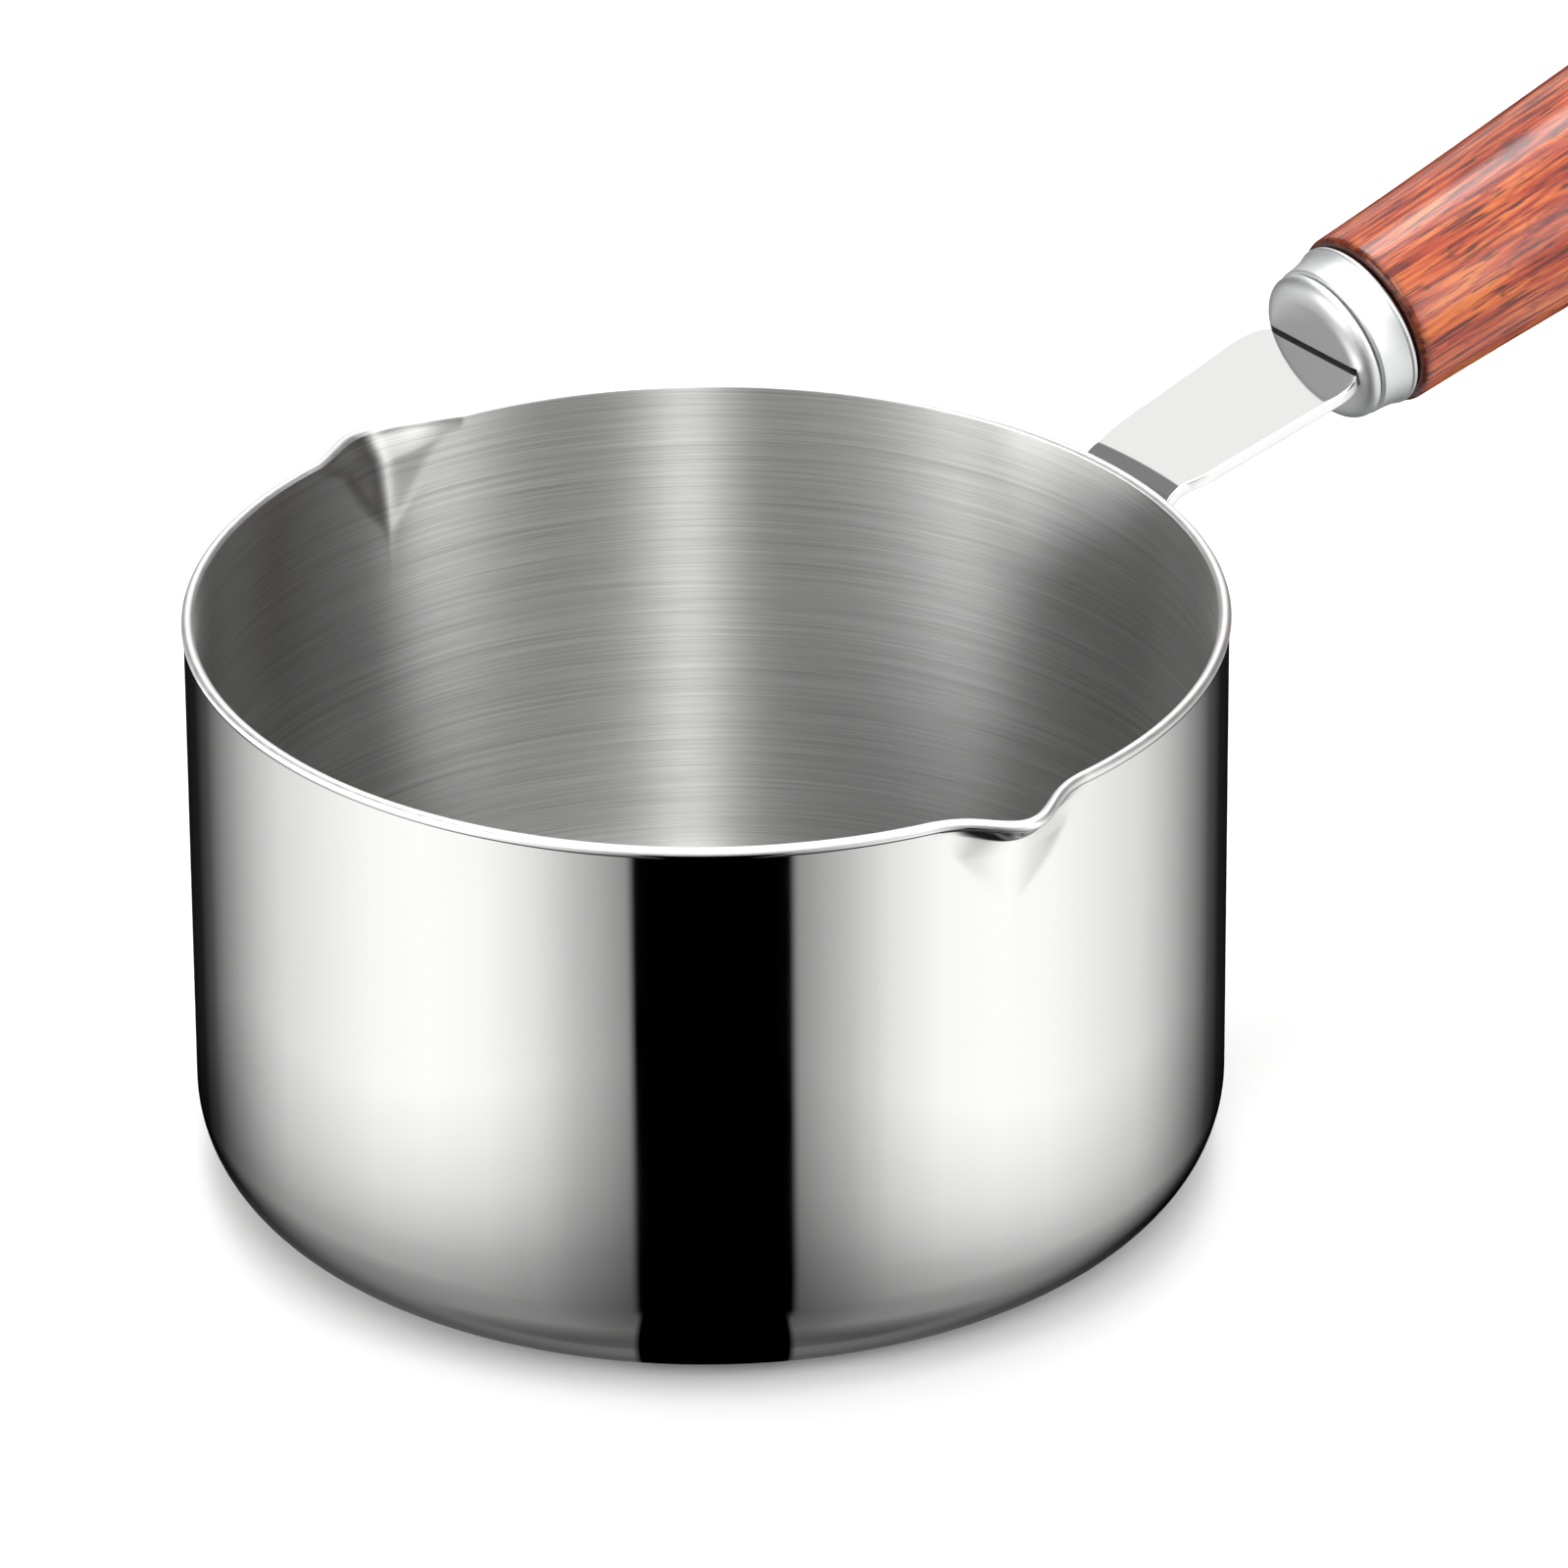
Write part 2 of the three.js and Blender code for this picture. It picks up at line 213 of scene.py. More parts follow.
# Stainless sheet, buffed to a mirror: the eye sees the studio in it, faint buffing lines and soft smears.
# The lines are drawn coarser than real ones, so that they show.
mirrorFinish = {
    "colour": "#d9d9d8", "roughness": (0.035, 0.06), "smear": 16, "smearSpan": (0.35, 0.65),
    "buffLine": 0.4, "buffLength": 50, "buffDepth": 0.0004, "buffStrength": 0.25,
}


def mirrorPolishedSteel():
    material, tree = newMaterial("stainless_steel_mirror_buffed")
    place = addNode(tree, "TexCoord")
    long, fine, smear = (mirrorFinish[key] * mm for key in ("buffLength", "buffLine", "smear"))
    lineSpace = addNode(tree, "Mapping", {"vector_type": "TEXTURE", "Scale": (long, long, fine)},
                        {"Vector": (place, "Object")})
    lines = addNode(tree, "TexNoise", {"Scale": 1.0, "Detail": 2.0}, {"Vector": (lineSpace, "Vector")})
    smearSpace = addNode(tree, "Mapping", {"vector_type": "TEXTURE", "Scale": (smear, smear, smear)},
                         {"Vector": (place, "Object")})
    smears = addNode(tree, "TexNoise", {"Scale": 1.0, "Detail": 3.0}, {"Vector": (smearSpace, "Vector")})
    first, last = mirrorFinish["smearSpan"]
    low, high = mirrorFinish["roughness"]
    roughness = addNode(tree, "MapRange",
                        {"From Min": first, "From Max": last, "To Min": low, "To Max": high},
                        {"Value": (smears, "Fac")})
    bump = addNode(tree, "Bump",
                   {"Strength": mirrorFinish["buffStrength"], "Distance": mirrorFinish["buffDepth"] * mm},
                   {"Height": (lines, "Fac")})
    shader = addNode(tree, "BsdfPrincipled",
                     {"Base Color": linearColour(mirrorFinish["colour"]), "Metallic": 1.0},
                     {"Roughness": (roughness, "Result"), "Normal": (bump, "Normal")})
    addNode(tree, "OutputMaterial", links={"Surface": (shader, "BSDF")})
    return material


# Stainless sheet, belt brushed round the bowl: hairlines along the circumference draw light out into
# upright bands. They are drawn coarser than real ones, so that they show.
hairlineFinish = {
    "pale": "#cdcdcc", "dark": "#adadac", "colourSpan": (0.32, 0.62), "roughness": (0.42, 0.50),
    "anisotropy": 1.0, "anisotropyTurn": 0.25, "hairline": 0.17, "hairlineLength": 20,
    "streak": 0.6, "streakLength": 40, "streakShare": 0.3, "depth": 0.002, "strength": 0.35,
}


def hairlineBrushedSteel():
    material, tree = newMaterial("stainless_steel_hairline_brushed")
    brush = addNode(tree, "Attribute", {"attribute_name": "brush"})
    noises = []
    for width, length in (("hairline", "hairlineLength"), ("streak", "streakLength")):
        wide, long = hairlineFinish[width] * mm, hairlineFinish[length] * mm
        space = addNode(tree, "Mapping", {"vector_type": "TEXTURE", "Scale": (long, long, wide)},
                        {"Vector": (brush, "Vector")})
        noises.append(addNode(tree, "TexNoise", {"Scale": 1.0, "Detail": 3.0, "Roughness": 0.6},
                              {"Vector": (space, "Vector")}))
    hairlines, streaks = noises
    streakPart = addNode(tree, "Math", {"operation": "MULTIPLY", 1: hairlineFinish["streakShare"]},
                         {0: (streaks, "Fac")})
    blend = addNode(tree, "Math", {"operation": "MULTIPLY_ADD", 1: 1 - hairlineFinish["streakShare"]},
                    {0: (hairlines, "Fac"), 2: (streakPart, "Value")})
    shades = [linearColour(hairlineFinish[key]) for key in ("dark", "pale")]
    colour = addNode(tree, "ValToRGB", {"stops": list(zip(hairlineFinish["colourSpan"], shades))},
                     {"Fac": (blend, "Value")})
    first, last = noiseSpan
    low, high = hairlineFinish["roughness"]
    roughness = addNode(tree, "MapRange",
                        {"From Min": first, "From Max": last, "To Min": low, "To Max": high},
                        {"Value": (hairlines, "Fac")})
    bump = addNode(tree, "Bump",
                   {"Strength": hairlineFinish["strength"], "Distance": hairlineFinish["depth"] * mm},
                   {"Height": (hairlines, "Fac")})
    around = addNode(tree, "Tangent", {"direction_type": "UV_MAP", "uv_map": "wrap"})
    shader = addNode(tree, "BsdfPrincipled",
                     {"Metallic": 1.0, "Anisotropic": hairlineFinish["anisotropy"],
                      "Anisotropic Rotation": hairlineFinish["anisotropyTurn"]},
                     {"Base Color": (colour, "Color"), "Roughness": (roughness, "Result"),
                      "Normal": (bump, "Normal"), "Tangent": (around, "Tangent")})
    addNode(tree, "OutputMaterial", links={"Surface": (shader, "BSDF")})
    return material


# Steel with a satin finish: light spreads over it softly. The ferrule is tumbled after pressing, and the
# bowl's lip is trimmed and buffed by hand. The pebbling is coarser than the real grit, so that it shows.
satinFinish = {
    "steel_pressed_tumbled": {"colour": "#d4d5d5", "roughness": (0.44, 0.50), "pebble": 0.5},
    "steel_lip_trimmed_buffed": {"colour": "#dcdcdb", "roughness": (0.42, 0.50), "pebble": 1.5},
}


def satinSteel(name):
    material, tree = newMaterial(name)
    finish = satinFinish[name]
    place = addNode(tree, "TexCoord")
    grit = finish["pebble"] * mm
    space = addNode(tree, "Mapping", {"vector_type": "TEXTURE", "Scale": (grit, grit, grit)},
                    {"Vector": (place, "Object")})
    pebbles = addNode(tree, "TexNoise", {"Scale": 1.0, "Detail": 3.0}, {"Vector": (space, "Vector")})
    first, last = noiseSpan
    low, high = finish["roughness"]
    roughness = addNode(tree, "MapRange",
                        {"From Min": first, "From Max": last, "To Min": low, "To Max": high},
                        {"Value": (pebbles, "Fac")})
    shader = addNode(tree, "BsdfPrincipled",
                     {"Base Color": linearColour(finish["colour"]), "Metallic": 1.0},
                     {"Roughness": (roughness, "Result")})
    addNode(tree, "OutputMaterial", links={"Surface": (shader, "BSDF")})
    return material


mirrorSteel = mirrorPolishedSteel()
brushedSteel = hairlineBrushedSteel()
softSteel = satinSteel("steel_pressed_tumbled")
lipSteel = satinSteel("steel_lip_trimmed_buffed")
print("steel finishes made")


# Bowl, pressed from one sheet, with a rolled lip and two pressed spouts
bowl = {
    "radius": 50.0, "height": 58.9, "wall": 1.0, "cornerRadius": 9.8, "bead": 0.6, "lipInside": 0.4,
    "spoutBearing": math.radians(92.5), "spoutWidth": 17.9, "spoutHeight": 9.7, "spoutReach": 1.6,
    "spoutDip": 0.5, "spoutBead": 0.2, "frontLipPower": 4.2, "backLipPower": 2.6, "pouchPower": 1.2,
    "insidePower": 3.2, "pouchDepth": 4.5, "narrowing": 0.62, "footSoftness": 0.1, "footFade": 25.0,
    "flare": 1.47, "flarePower": 0.4, "flareTop": 0.8, "flareHeight": (1.0, 2.2), "flareCurve": 1.2,
    "spoutMargin": 1.6, "columns": (56, 84, 116, 84, 56), "baseRows": 6, "cornerRows": (22, 18),
    "lipRows": 20, "wallRows": ((0, 0.7, 10), (0.7, 0.92, 25), (0.92, 1, 28)),  # shares of the wall, count
}


# Push of the spouts, 0 to 1: the rise above the spout's foot times a bell, a power of the cosine of the
# azimuth from the spout's middle. The power goes from the lip's to the pouch's below, and the bell's width
# is a power of the rise. What is left of the rise below the foot fades out down to the outer corner.
def spoutPush(azimuth, z, pouchPower):
    soft = bowl["footSoftness"]
    rise = 1 + (z - bowl["height"]) / bowl["spoutHeight"]
    rise = (rise + np.hypot(rise, soft)) / (1 + math.hypot(1, soft))
    half = bowl["spoutWidth"] / 2 / bowl["radius"] * rise ** bowl["narrowing"]
    x = np.clip((np.abs(azimuth) - bowl["spoutBearing"]) / half, -1, 1)
    lip = smoothStep(1 - (bowl["height"] - z) / bowl["pouchDepth"])
    lipPower = np.where(azimuth < 0, bowl["frontLipPower"], bowl["backLipPower"])
    bell = np.cos(math.pi / 2 * x) ** (pouchPower + (lipPower - pouchPower) * lip)
    fade = np.clip((z - bowl["cornerRadius"]) / bowl["footFade"], 0, 1)
    return fade * rise * bell


# Azimuths round the bowl, close together over the spouts.
def bowlAzimuths():
    reach = bowl["spoutMargin"] * bowl["spoutWidth"] / 2 / bowl["radius"]
    near = bowl["spoutBearing"] - reach
    far = bowl["spoutBearing"] + reach
    edges = (-math.pi, -far, -near, near, far, math.pi)
    return np.concatenate([np.linspace(first, last, count, endpoint=False)
                           for first, last, count in zip(edges, edges[1:], bowl["columns"])])


# Radius and height down each column: base, outer corner, wall, rolled lip, inner wall, inner corner, floor.
# The lip is a circle that touches the inner wall and stands out past the outer one, larger on the spouts.
def bowlColumns(azimuth):
    radius, height, wall, corner = (bowl[key] for key in ("radius", "height", "wall", "cornerRadius"))
    flat = radius - corner
    inner = radius - wall
    bead = bowl["bead"] + bowl["spoutBead"] * spoutPush(azimuth, height, bowl["pouchPower"])
    first = -np.arccos((wall - bead) / bead)
    rollAngle = first + (math.pi - first) * np.linspace(0, 1, bowl["lipRows"])[:, None]
    wallShare = np.concatenate([np.linspace(*portion)[1:] for portion in bowl["wallRows"]])
    wallShare = wallShare[:-1, None]
    wallTop = height - bead + bead * np.sin(first)
    base = np.linspace(0, flat, bowl["baseRows"])[:-1]
    outerRows, innerRows = bowl["cornerRows"]
    outerArc = arc(flat, corner, corner, -90, 0, outerRows)
    innerArc = arc(flat, corner, corner - wall, 0, -90, innerRows)
    rows = [
        (base, 0 * base), (outerArc[:, 0], outerArc[:, 1]),
        (radius + 0 * wallShare, corner + (wallTop - corner) * wallShare),
        (inner + bead + bead * np.cos(rollAngle), height - bead + bead * np.sin(rollAngle)),
        (inner + 0 * wallShare, corner + (height - bead - corner) * wallShare[::-1]),
        (innerArc[:, 0], innerArc[:, 1]), (base[::-1], wall + 0 * base),
    ]
    full = [np.broadcast_to(values.reshape(len(values), -1), (len(values), azimuth.size))
            for row in rows for values in row]
    return np.concatenate(full[0::2]), np.concatenate(full[1::2])


# The columns stand round the bowl's axis and are pushed out by the spouts. At a spout's lip the sheet also
# overhangs its pouch, by a power of the lip's push, and the overhang dies away downwards by another power.
def makeBowl():
    azimuth = bowlAzimuths()[None, :]
    r, z = bowlColumns(azimuth)
    within = np.arange(len(z))[:, None] > np.argmax(z[:, 0])
    push = spoutPush(azimuth, z, np.where(within, bowl["insidePower"], bowl["pouchPower"]))
    depth = bowl["height"] - z
    lipPush = spoutPush(azimuth, bowl["height"], bowl["pouchPower"])
    low, high = bowl["flareHeight"]
    overhang = np.clip(1 - (depth - bowl["flareTop"]) / (low + (high - low) * np.sqrt(lipPush)), 0, 1)
    flare = bowl["flare"] * lipPush ** bowl["flarePower"] * overhang ** bowl["flareCurve"]
    reach = r + (push * bowl["spoutReach"] + flare) * (r > 0)
    level = z - bowl["spoutDip"] * push
    points = np.stack([reach * np.cos(azimuth), reach * np.sin(azimuth), level], axis=-1)
    run = np.concatenate([[0], np.cumsum(np.hypot(np.diff(r[:, 0]), np.diff(z[:, 0])))])[:, None]
    around = bowl["radius"] * np.cos(azimuth), bowl["radius"] * np.sin(azimuth)
    brush = np.stack(np.broadcast_arrays(*around, run), axis=-1)
    middle = (z[1:, 0] + z[:-1, 0]) / 2
    inside = np.arange(len(middle)) > np.argmax(z[:, 0])
    brushed = np.where(inside, middle < bowl["height"] - bowl["lipInside"], middle <= 0)
    lip = ~inside & (middle > bowl["height"] - bowl["bead"]) | inside & ~brushed
    rowMaterial = np.where(lip, 2, brushed).astype(np.int32)  # mirror 0, brushed 1, lip 2
    mesh = gridMesh("bowl", points, rowMaterial=rowMaterial, brush=brush)
    return addPiece("pressedBowl", mesh, "pan", "pan_body", "bowl_steel",
                    mirrorSteel, brushedSteel, lipSteel)


bowlPiece = makeBowl()


# Handle strip: weld plate, bend at the rim, arm, tang in the ferrule and tongue in the grip
strip = {
    "thickness": 1.2, "edge": 0.22, "plateWidth": 26.0, "plateHeight": 30.0, "plateCorner": 6.0,
    "neckWidth": 13.0, "neckBlend": 8.0, "bendRadius": 3.6, "bendDrop": 0.8, "pitch": math.radians(14.5),
    "armLength": 22.1, "armRootWidth": 14.4, "armRootFlare": 4.0, "armWidth": 16.2, "shoulder": 3.5,
    "tangWidth": 12.6, "tangLength": 1.1, "tongueWidth": 7.0, "tongueStep": 0.2, "tongueLength": 18.0,
    "fitGap": 0.3, "drop": 0.3, "weldRadius": 1.9, "weldDepth": 0.18,
    "welds": ((-7.0, 7.0), (7.0, 7.0), (0.0, 15.0)),  # across and up the plate
    "faceColumns": 53, "edgeColumns": 5, "edgeRows": 4, "cornerRows": 10, "plateRows": 50, "bendRows": 22,
    "flareRows": 10, "armRows": 12, "cornerFrom": 8,  # degrees, past the rounded end
}
plateRadius = bowl["radius"] + strip["fitGap"] + strip["thickness"] / 2
bendMiddle = strip["bendRadius"] + strip["thickness"] / 2
bendTurn = math.pi / 2 - strip["pitch"]
bendCentreX = plateRadius + bendMiddle
bendOutside = strip["bendRadius"] + strip["thickness"]
bendCentreZ = bowl["height"] - strip["bendDrop"] - bendOutside * math.cos(strip["pitch"])
armStart = strip["plateHeight"] + bendMiddle * bendTurn
faceStart = armStart + strip["armLength"]
tangEnd = faceStart + strip["tangLength"]
tongueStart = tangEnd + strip["tongueStep"]
tongueEnd = tongueStart + strip["tongueLength"]


# Middle line of the strip: straight up the wall, round the bend, straight out. Gives x, z and the turn.
def stripPath(along):
    turn = np.clip((along - strip["plateHeight"]) / bendMiddle, 0, bendTurn)
    up = np.minimum(along - strip["plateHeight"], 0)
    out = np.maximum(along - armStart, 0)
    x = bendCentreX - bendMiddle * np.cos(turn) + out * np.sin(turn)
    z = bendCentreZ + bendMiddle * np.sin(turn) + out * np.cos(turn) + up
    return x, z, turn


# Width along the strip: round-cornered plate, smooth step to the neck, flare to the arm, and a shoulder
# that is a quarter of an ellipse.
def stripWidth(along):
    corner = strip["plateCorner"]
    below = np.clip(corner - along, 0, corner)
    plate = strip["plateWidth"] - 2 * (corner - np.sqrt(corner ** 2 - below ** 2))
    necked = smoothStep((along - strip["plateHeight"]) / strip["neckBlend"] + 1)
    plate = plate + (strip["neckWidth"] - plate) * necked
    rootEnd = armStart + strip["armRootFlare"]
    shoulderStart = faceStart - strip["shoulder"]
    flare = np.clip((rootEnd - along) / strip["armRootFlare"], 0, 1) ** 2
    share = np.clip((along - rootEnd) / (shoulderStart - rootEnd), 0, 1)
    arm = strip["armRootWidth"] + (strip["armWidth"] - strip["armRootWidth"]) * share
    arm = arm + (strip["neckWidth"] - strip["armRootWidth"]) * flare
    curve = np.sqrt(1 - np.clip((along - shoulderStart) / strip["shoulder"], 0, 1) ** 2)
    arm = strip["tangWidth"] + (arm - strip["tangWidth"]) * curve
    width = np.where(along <= armStart, plate, arm)
    return np.where(along > tangEnd, strip["tongueWidth"], width)


# Round-edged section of the strip as shares: place on the flat, side of the sheet, and cosine and sine of
# the edge.
def stripSection():
    face = np.linspace(-1, 1, strip["faceColumns"])
    quarter = np.radians(np.linspace(90, 0, strip["edgeColumns"]))
    one = np.ones_like(face)
    cosine, sine, edge = np.cos(quarter), np.sin(quarter), np.ones_like(quarter)
    return (
        np.concatenate([face, edge, edge, face[::-1], -edge, -edge]),
        np.concatenate([one, edge, -edge, -one, -edge, edge]),
        np.concatenate([0 * face, cosine, cosine[::-1], 0 * face, -cosine, -cosine[::-1]]),
        np.concatenate([one, sine, -sine[::-1], -one, -sine, sine[::-1]]),
    )


# Stations along the strip, close together on its curves, and the share of its thickness that is left there:
# it thins round its lower edge and closes at both ends.
def stripStations():
    edge = strip["edge"]
    roundStart = np.radians(np.linspace(0, 90, strip["edgeRows"]))
    corner = np.radians(np.linspace(strip["cornerFrom"], 90, strip["cornerRows"]))
    half = strip["thickness"] / 2
    rootEnd = armStart + strip["armRootFlare"]
    shoulderStart = faceStart - strip["shoulder"]
    along = np.concatenate([
        [0], edge * (1 - np.cos(roundStart)),
        strip["plateCorner"] * (1 - np.cos(corner)),
        np.linspace(strip["plateCorner"], strip["plateHeight"], strip["plateRows"])[1:-1],
        np.linspace(strip["plateHeight"], armStart, strip["bendRows"]),
        np.linspace(armStart, rootEnd, strip["flareRows"])[1:],
        np.linspace(rootEnd, shoulderStart, strip["armRows"])[1:],
        faceStart - strip["shoulder"] * (1 - np.sin(corner)),
        [tangEnd, tongueStart, tongueEnd, tongueEnd],
    ])
    thin = np.ones_like(along)
    thin[0] = 0
    thin[1:1 + len(roundStart)] = 1 - edge / half * (1 - np.sin(roundStart))
    thin[-1] = 0
    return along, thin


# The section is carried along the middle line. On the plate it follows the bowl's round wall, on the arm it
# is flat. Each spot weld is a flat-bottomed dimple, the exponential of a fourth power of the distance.
def makeStrip():
    along, thin = (values[:, None] for values in stripStations())
    place, side, edgeCos, edgeSin = (values[None, :] for values in stripSection())
    half = strip["thickness"] / 2
    edge = strip["edge"]
    across = place * (stripWidth(along) / 2 - edge) + edge * edgeCos
    offset = (side * (half - edge) + edge * edgeSin) * thin
    for weldAcross, weldUp in strip["welds"]:
        distance = np.hypot(across - weldAcross, along - weldUp) / strip["weldRadius"]
        offset = offset - strip["weldDepth"] * np.exp(-distance ** 4) * (side * edgeSin == 1) * (side > 0)
    x, z, turn = stripPath(along)
    curl = 1 - turn / bendTurn
    radius = plateRadius + offset
    bow = across / plateRadius
    outward = offset + curl * radius * (np.cos(bow) - 1)
    sideways = across + curl * (radius * np.sin(bow) - across)
    points = np.stack([x + outward * np.cos(turn), sideways, z - outward * np.sin(turn)], axis=-1)
    mesh = gridMesh("strip", points)
    addPiece("handleStrip", mesh, "pan", "handle_bracket", "strip_steel", mirrorSteel)


makeStrip()


# Handle axis: everything turned is placed from the ferrule's face, along the arm's direction
faceX, faceZ = stripPath(np.array(faceStart))[:2]
alongAxis = np.array([math.cos(strip["pitch"]), 0, math.sin(strip["pitch"])])
upAxis = np.array([-math.sin(strip["pitch"]), 0, math.cos(strip["pitch"])])
sideAxis = np.array([0.0, -1.0, 0.0])
handleOrigin = np.array([float(faceX), 0, float(faceZ)]) + strip["drop"] * upAxis
turnedColumns = 128


# A profile of radius and place along the handle, carried round the handle's axis.
def turned(name, profile, count=turnedColumns, ring=False):
    angle = fullTurn(count)[None, :, None]
    radius, along = profile[:, None, :1], profile[:, None, 1:]
    points = handleOrigin + along * alongAxis + radius * (np.cos(angle) * sideAxis + np.sin(angle) * upAxis)
    return gridMesh(name, points, ring=ring)


# A box in the handle's own axes: centre and half sizes across, along and up.
def handleBox(name, centre, half):
    loop = np.array([(-1, -1), (1, -1), (1, 1), (-1, 1)]) * np.array([half[0], half[2]])
    rows = np.array([(-1, 0), (-1, 1), (1, 1), (1, 0)], float)
    across = centre[0] + rows[:, 1:] * loop[None, :, 0]
    up = centre[2] + rows[:, 1:] * loop[None, :, 1]
    along = centre[1] + rows[:, :1] * half[1] + 0 * across
    points = handleOrigin + across[..., None] * sideAxis + along[..., None] * alongAxis
    return gridMesh(name, points + up[..., None] * upAxis)


# Ferrule: pressed cap with a rounded nose, a crease, a flaring collar, a rolled edge and the strip's slot
ferrule = {
    "length": 6.1, "sheet": 0.8, "noseRadius": 7.95, "noseLength": 1.6, "rounding": 2.3,
    "creaseDepth": 0.75, "creaseEnd": 2.4, "creaseSoftness": 0.1, "collarFront": 8.1, "collarRear": 8.6,
    "easeFront": 1.0, "easeRear": 0.9, "easeFlare": 0.3, "rolledEdge": 0.36, "rollInset": 0.2,
    "rollStep": (0.1, 0.06), "insideStep": 0.3, "insideCollar": 0.2, "slotAbove": 0.45, "slotBelow": 0.3,
    "slotSide": 0.3, "sharpAngle": 35,  # degrees
}


def makeFerrule():
    sheet, nose, rounding = ferrule["sheet"], ferrule["noseRadius"], ferrule["rounding"]
    back, roll, soft = ferrule["length"], ferrule["rolledEdge"], ferrule["creaseSoftness"]
    noseEnd, creaseEnd = ferrule["noseLength"], ferrule["creaseEnd"]
    rear, collar = ferrule["collarRear"], ferrule["collarFront"]
    flat = nose - rounding
    crease = (noseEnd + creaseEnd) / 2
    groove = nose - ferrule["creaseDepth"]
    rollStart = back - 2 * roll
    stepIn, stepBack = ferrule["rollStep"]
    within = noseEnd + ferrule["insideStep"]
    profile = np.concatenate([
        stretch((0, 0), (flat / 2, 0)),
        arc(0, 0, 1, -90, 0, 16) * np.array([rounding, noseEnd]) + np.array([flat, noseEnd]),
        spline((nose, noseEnd + soft), (nose, crease - soft / 2), (groove + soft, crease - soft),
               (groove, crease), 10),
        spline((groove, crease), (groove + soft, crease + soft), (collar, crease + soft / 2),
               (collar, creaseEnd), 10)[1:],
        spline((collar, creaseEnd), (collar + soft / 2, creaseEnd + ferrule["easeFront"]),
               (rear - ferrule["easeFlare"], rollStart - ferrule["easeRear"]), (rear, rollStart), 16)[1:],
        stretch((rear - stepIn, rollStart + stepBack)),
        arc(rear - ferrule["rollInset"], back - roll, roll, -70, 90, 12),
        stretch((rear - sheet, back), (collar - sheet, creaseEnd + ferrule["insideCollar"]),
                (groove - sheet, within)),
        arc(flat - ferrule["insideStep"], within, within - sheet, 0, -90, 8),
        stretch((0, sheet)),
    ])
    half = strip["thickness"] / 2
    top = half + ferrule["slotAbove"] - strip["drop"]
    bottom = -half - ferrule["slotBelow"] - strip["drop"]
    slot = handleBox("slot", (0, 0, (top + bottom) / 2),
                     (strip["tangWidth"] / 2 + ferrule["slotSide"], 2 * sheet, (top - bottom) / 2))
    mesh = combine("ferrule", turned("ferruleCup", profile), slot, "DIFFERENCE", ferrule["sharpAngle"])
    addPiece("slottedFerrule", mesh, "pan", "ferrule", "ferrule_steel", softSteel)


makeFerrule()


# Wooden grip, turned on a lathe
grip = {
    "length": 92.0, "frontRadius": 9.2, "frontRounding": 0.9, "frontSlope": 0.016, "swellRadius": 11.1,
    "swellPlace": 62.0, "endRadius": 8.25, "endRounding": 1.5, "endSlope": 0.25, "tenonRadius": 6.85,
    "tenonFront": 1.4, "tongueBore": 3.9, "rodBore": 2.8, "columns": 160,
}
gripFront = ferrule["length"] + strip["fitGap"]
gripEnd = gripFront + grip["length"]


# Rosewood, turned and lacquered: red-brown heartwood with orange streaks and short dark pores along the
# grain, under a clear gloss coat. The front edge is darkened to near black: partly the lacquer on the end
# grain, partly painted shade in the gap to the ferrule.
woodFinish = {
    "dark": "#5a170c", "middle": "#99371c", "pale": "#c0672f", "pore": "#280a06", "edge": "#1a0604",
    "grainLength": 10, "grainWidth": 0.55, "figureLength": 16, "figureWidth": 3.0, "waviness": 0.15,
    "poreLength": 5.0, "poreWidth": 0.26, "poreSpan": (0.55, 0.68), "poreShare": 0.8,
    "fleckLength": 2.2, "fleckWidth": 1.0, "fleckSpan": (0.62, 0.74), "fleckShare": 0.6,
    "figureShare": 0.45, "figureShift": -0.22, "tones": (0.30, 0.47, 0.68),  # of dark, middle and pale
    "poreDepth": 0.05, "poreStrength": 0.15, "lacquerShadeDepth": 1.4, "lacquerShadeShare": 0.95,
    "roughness": 0.45, "specular": 0.15, "coat": 0.6, "coatRoughness": 0.12, "ior": 1.5,
}


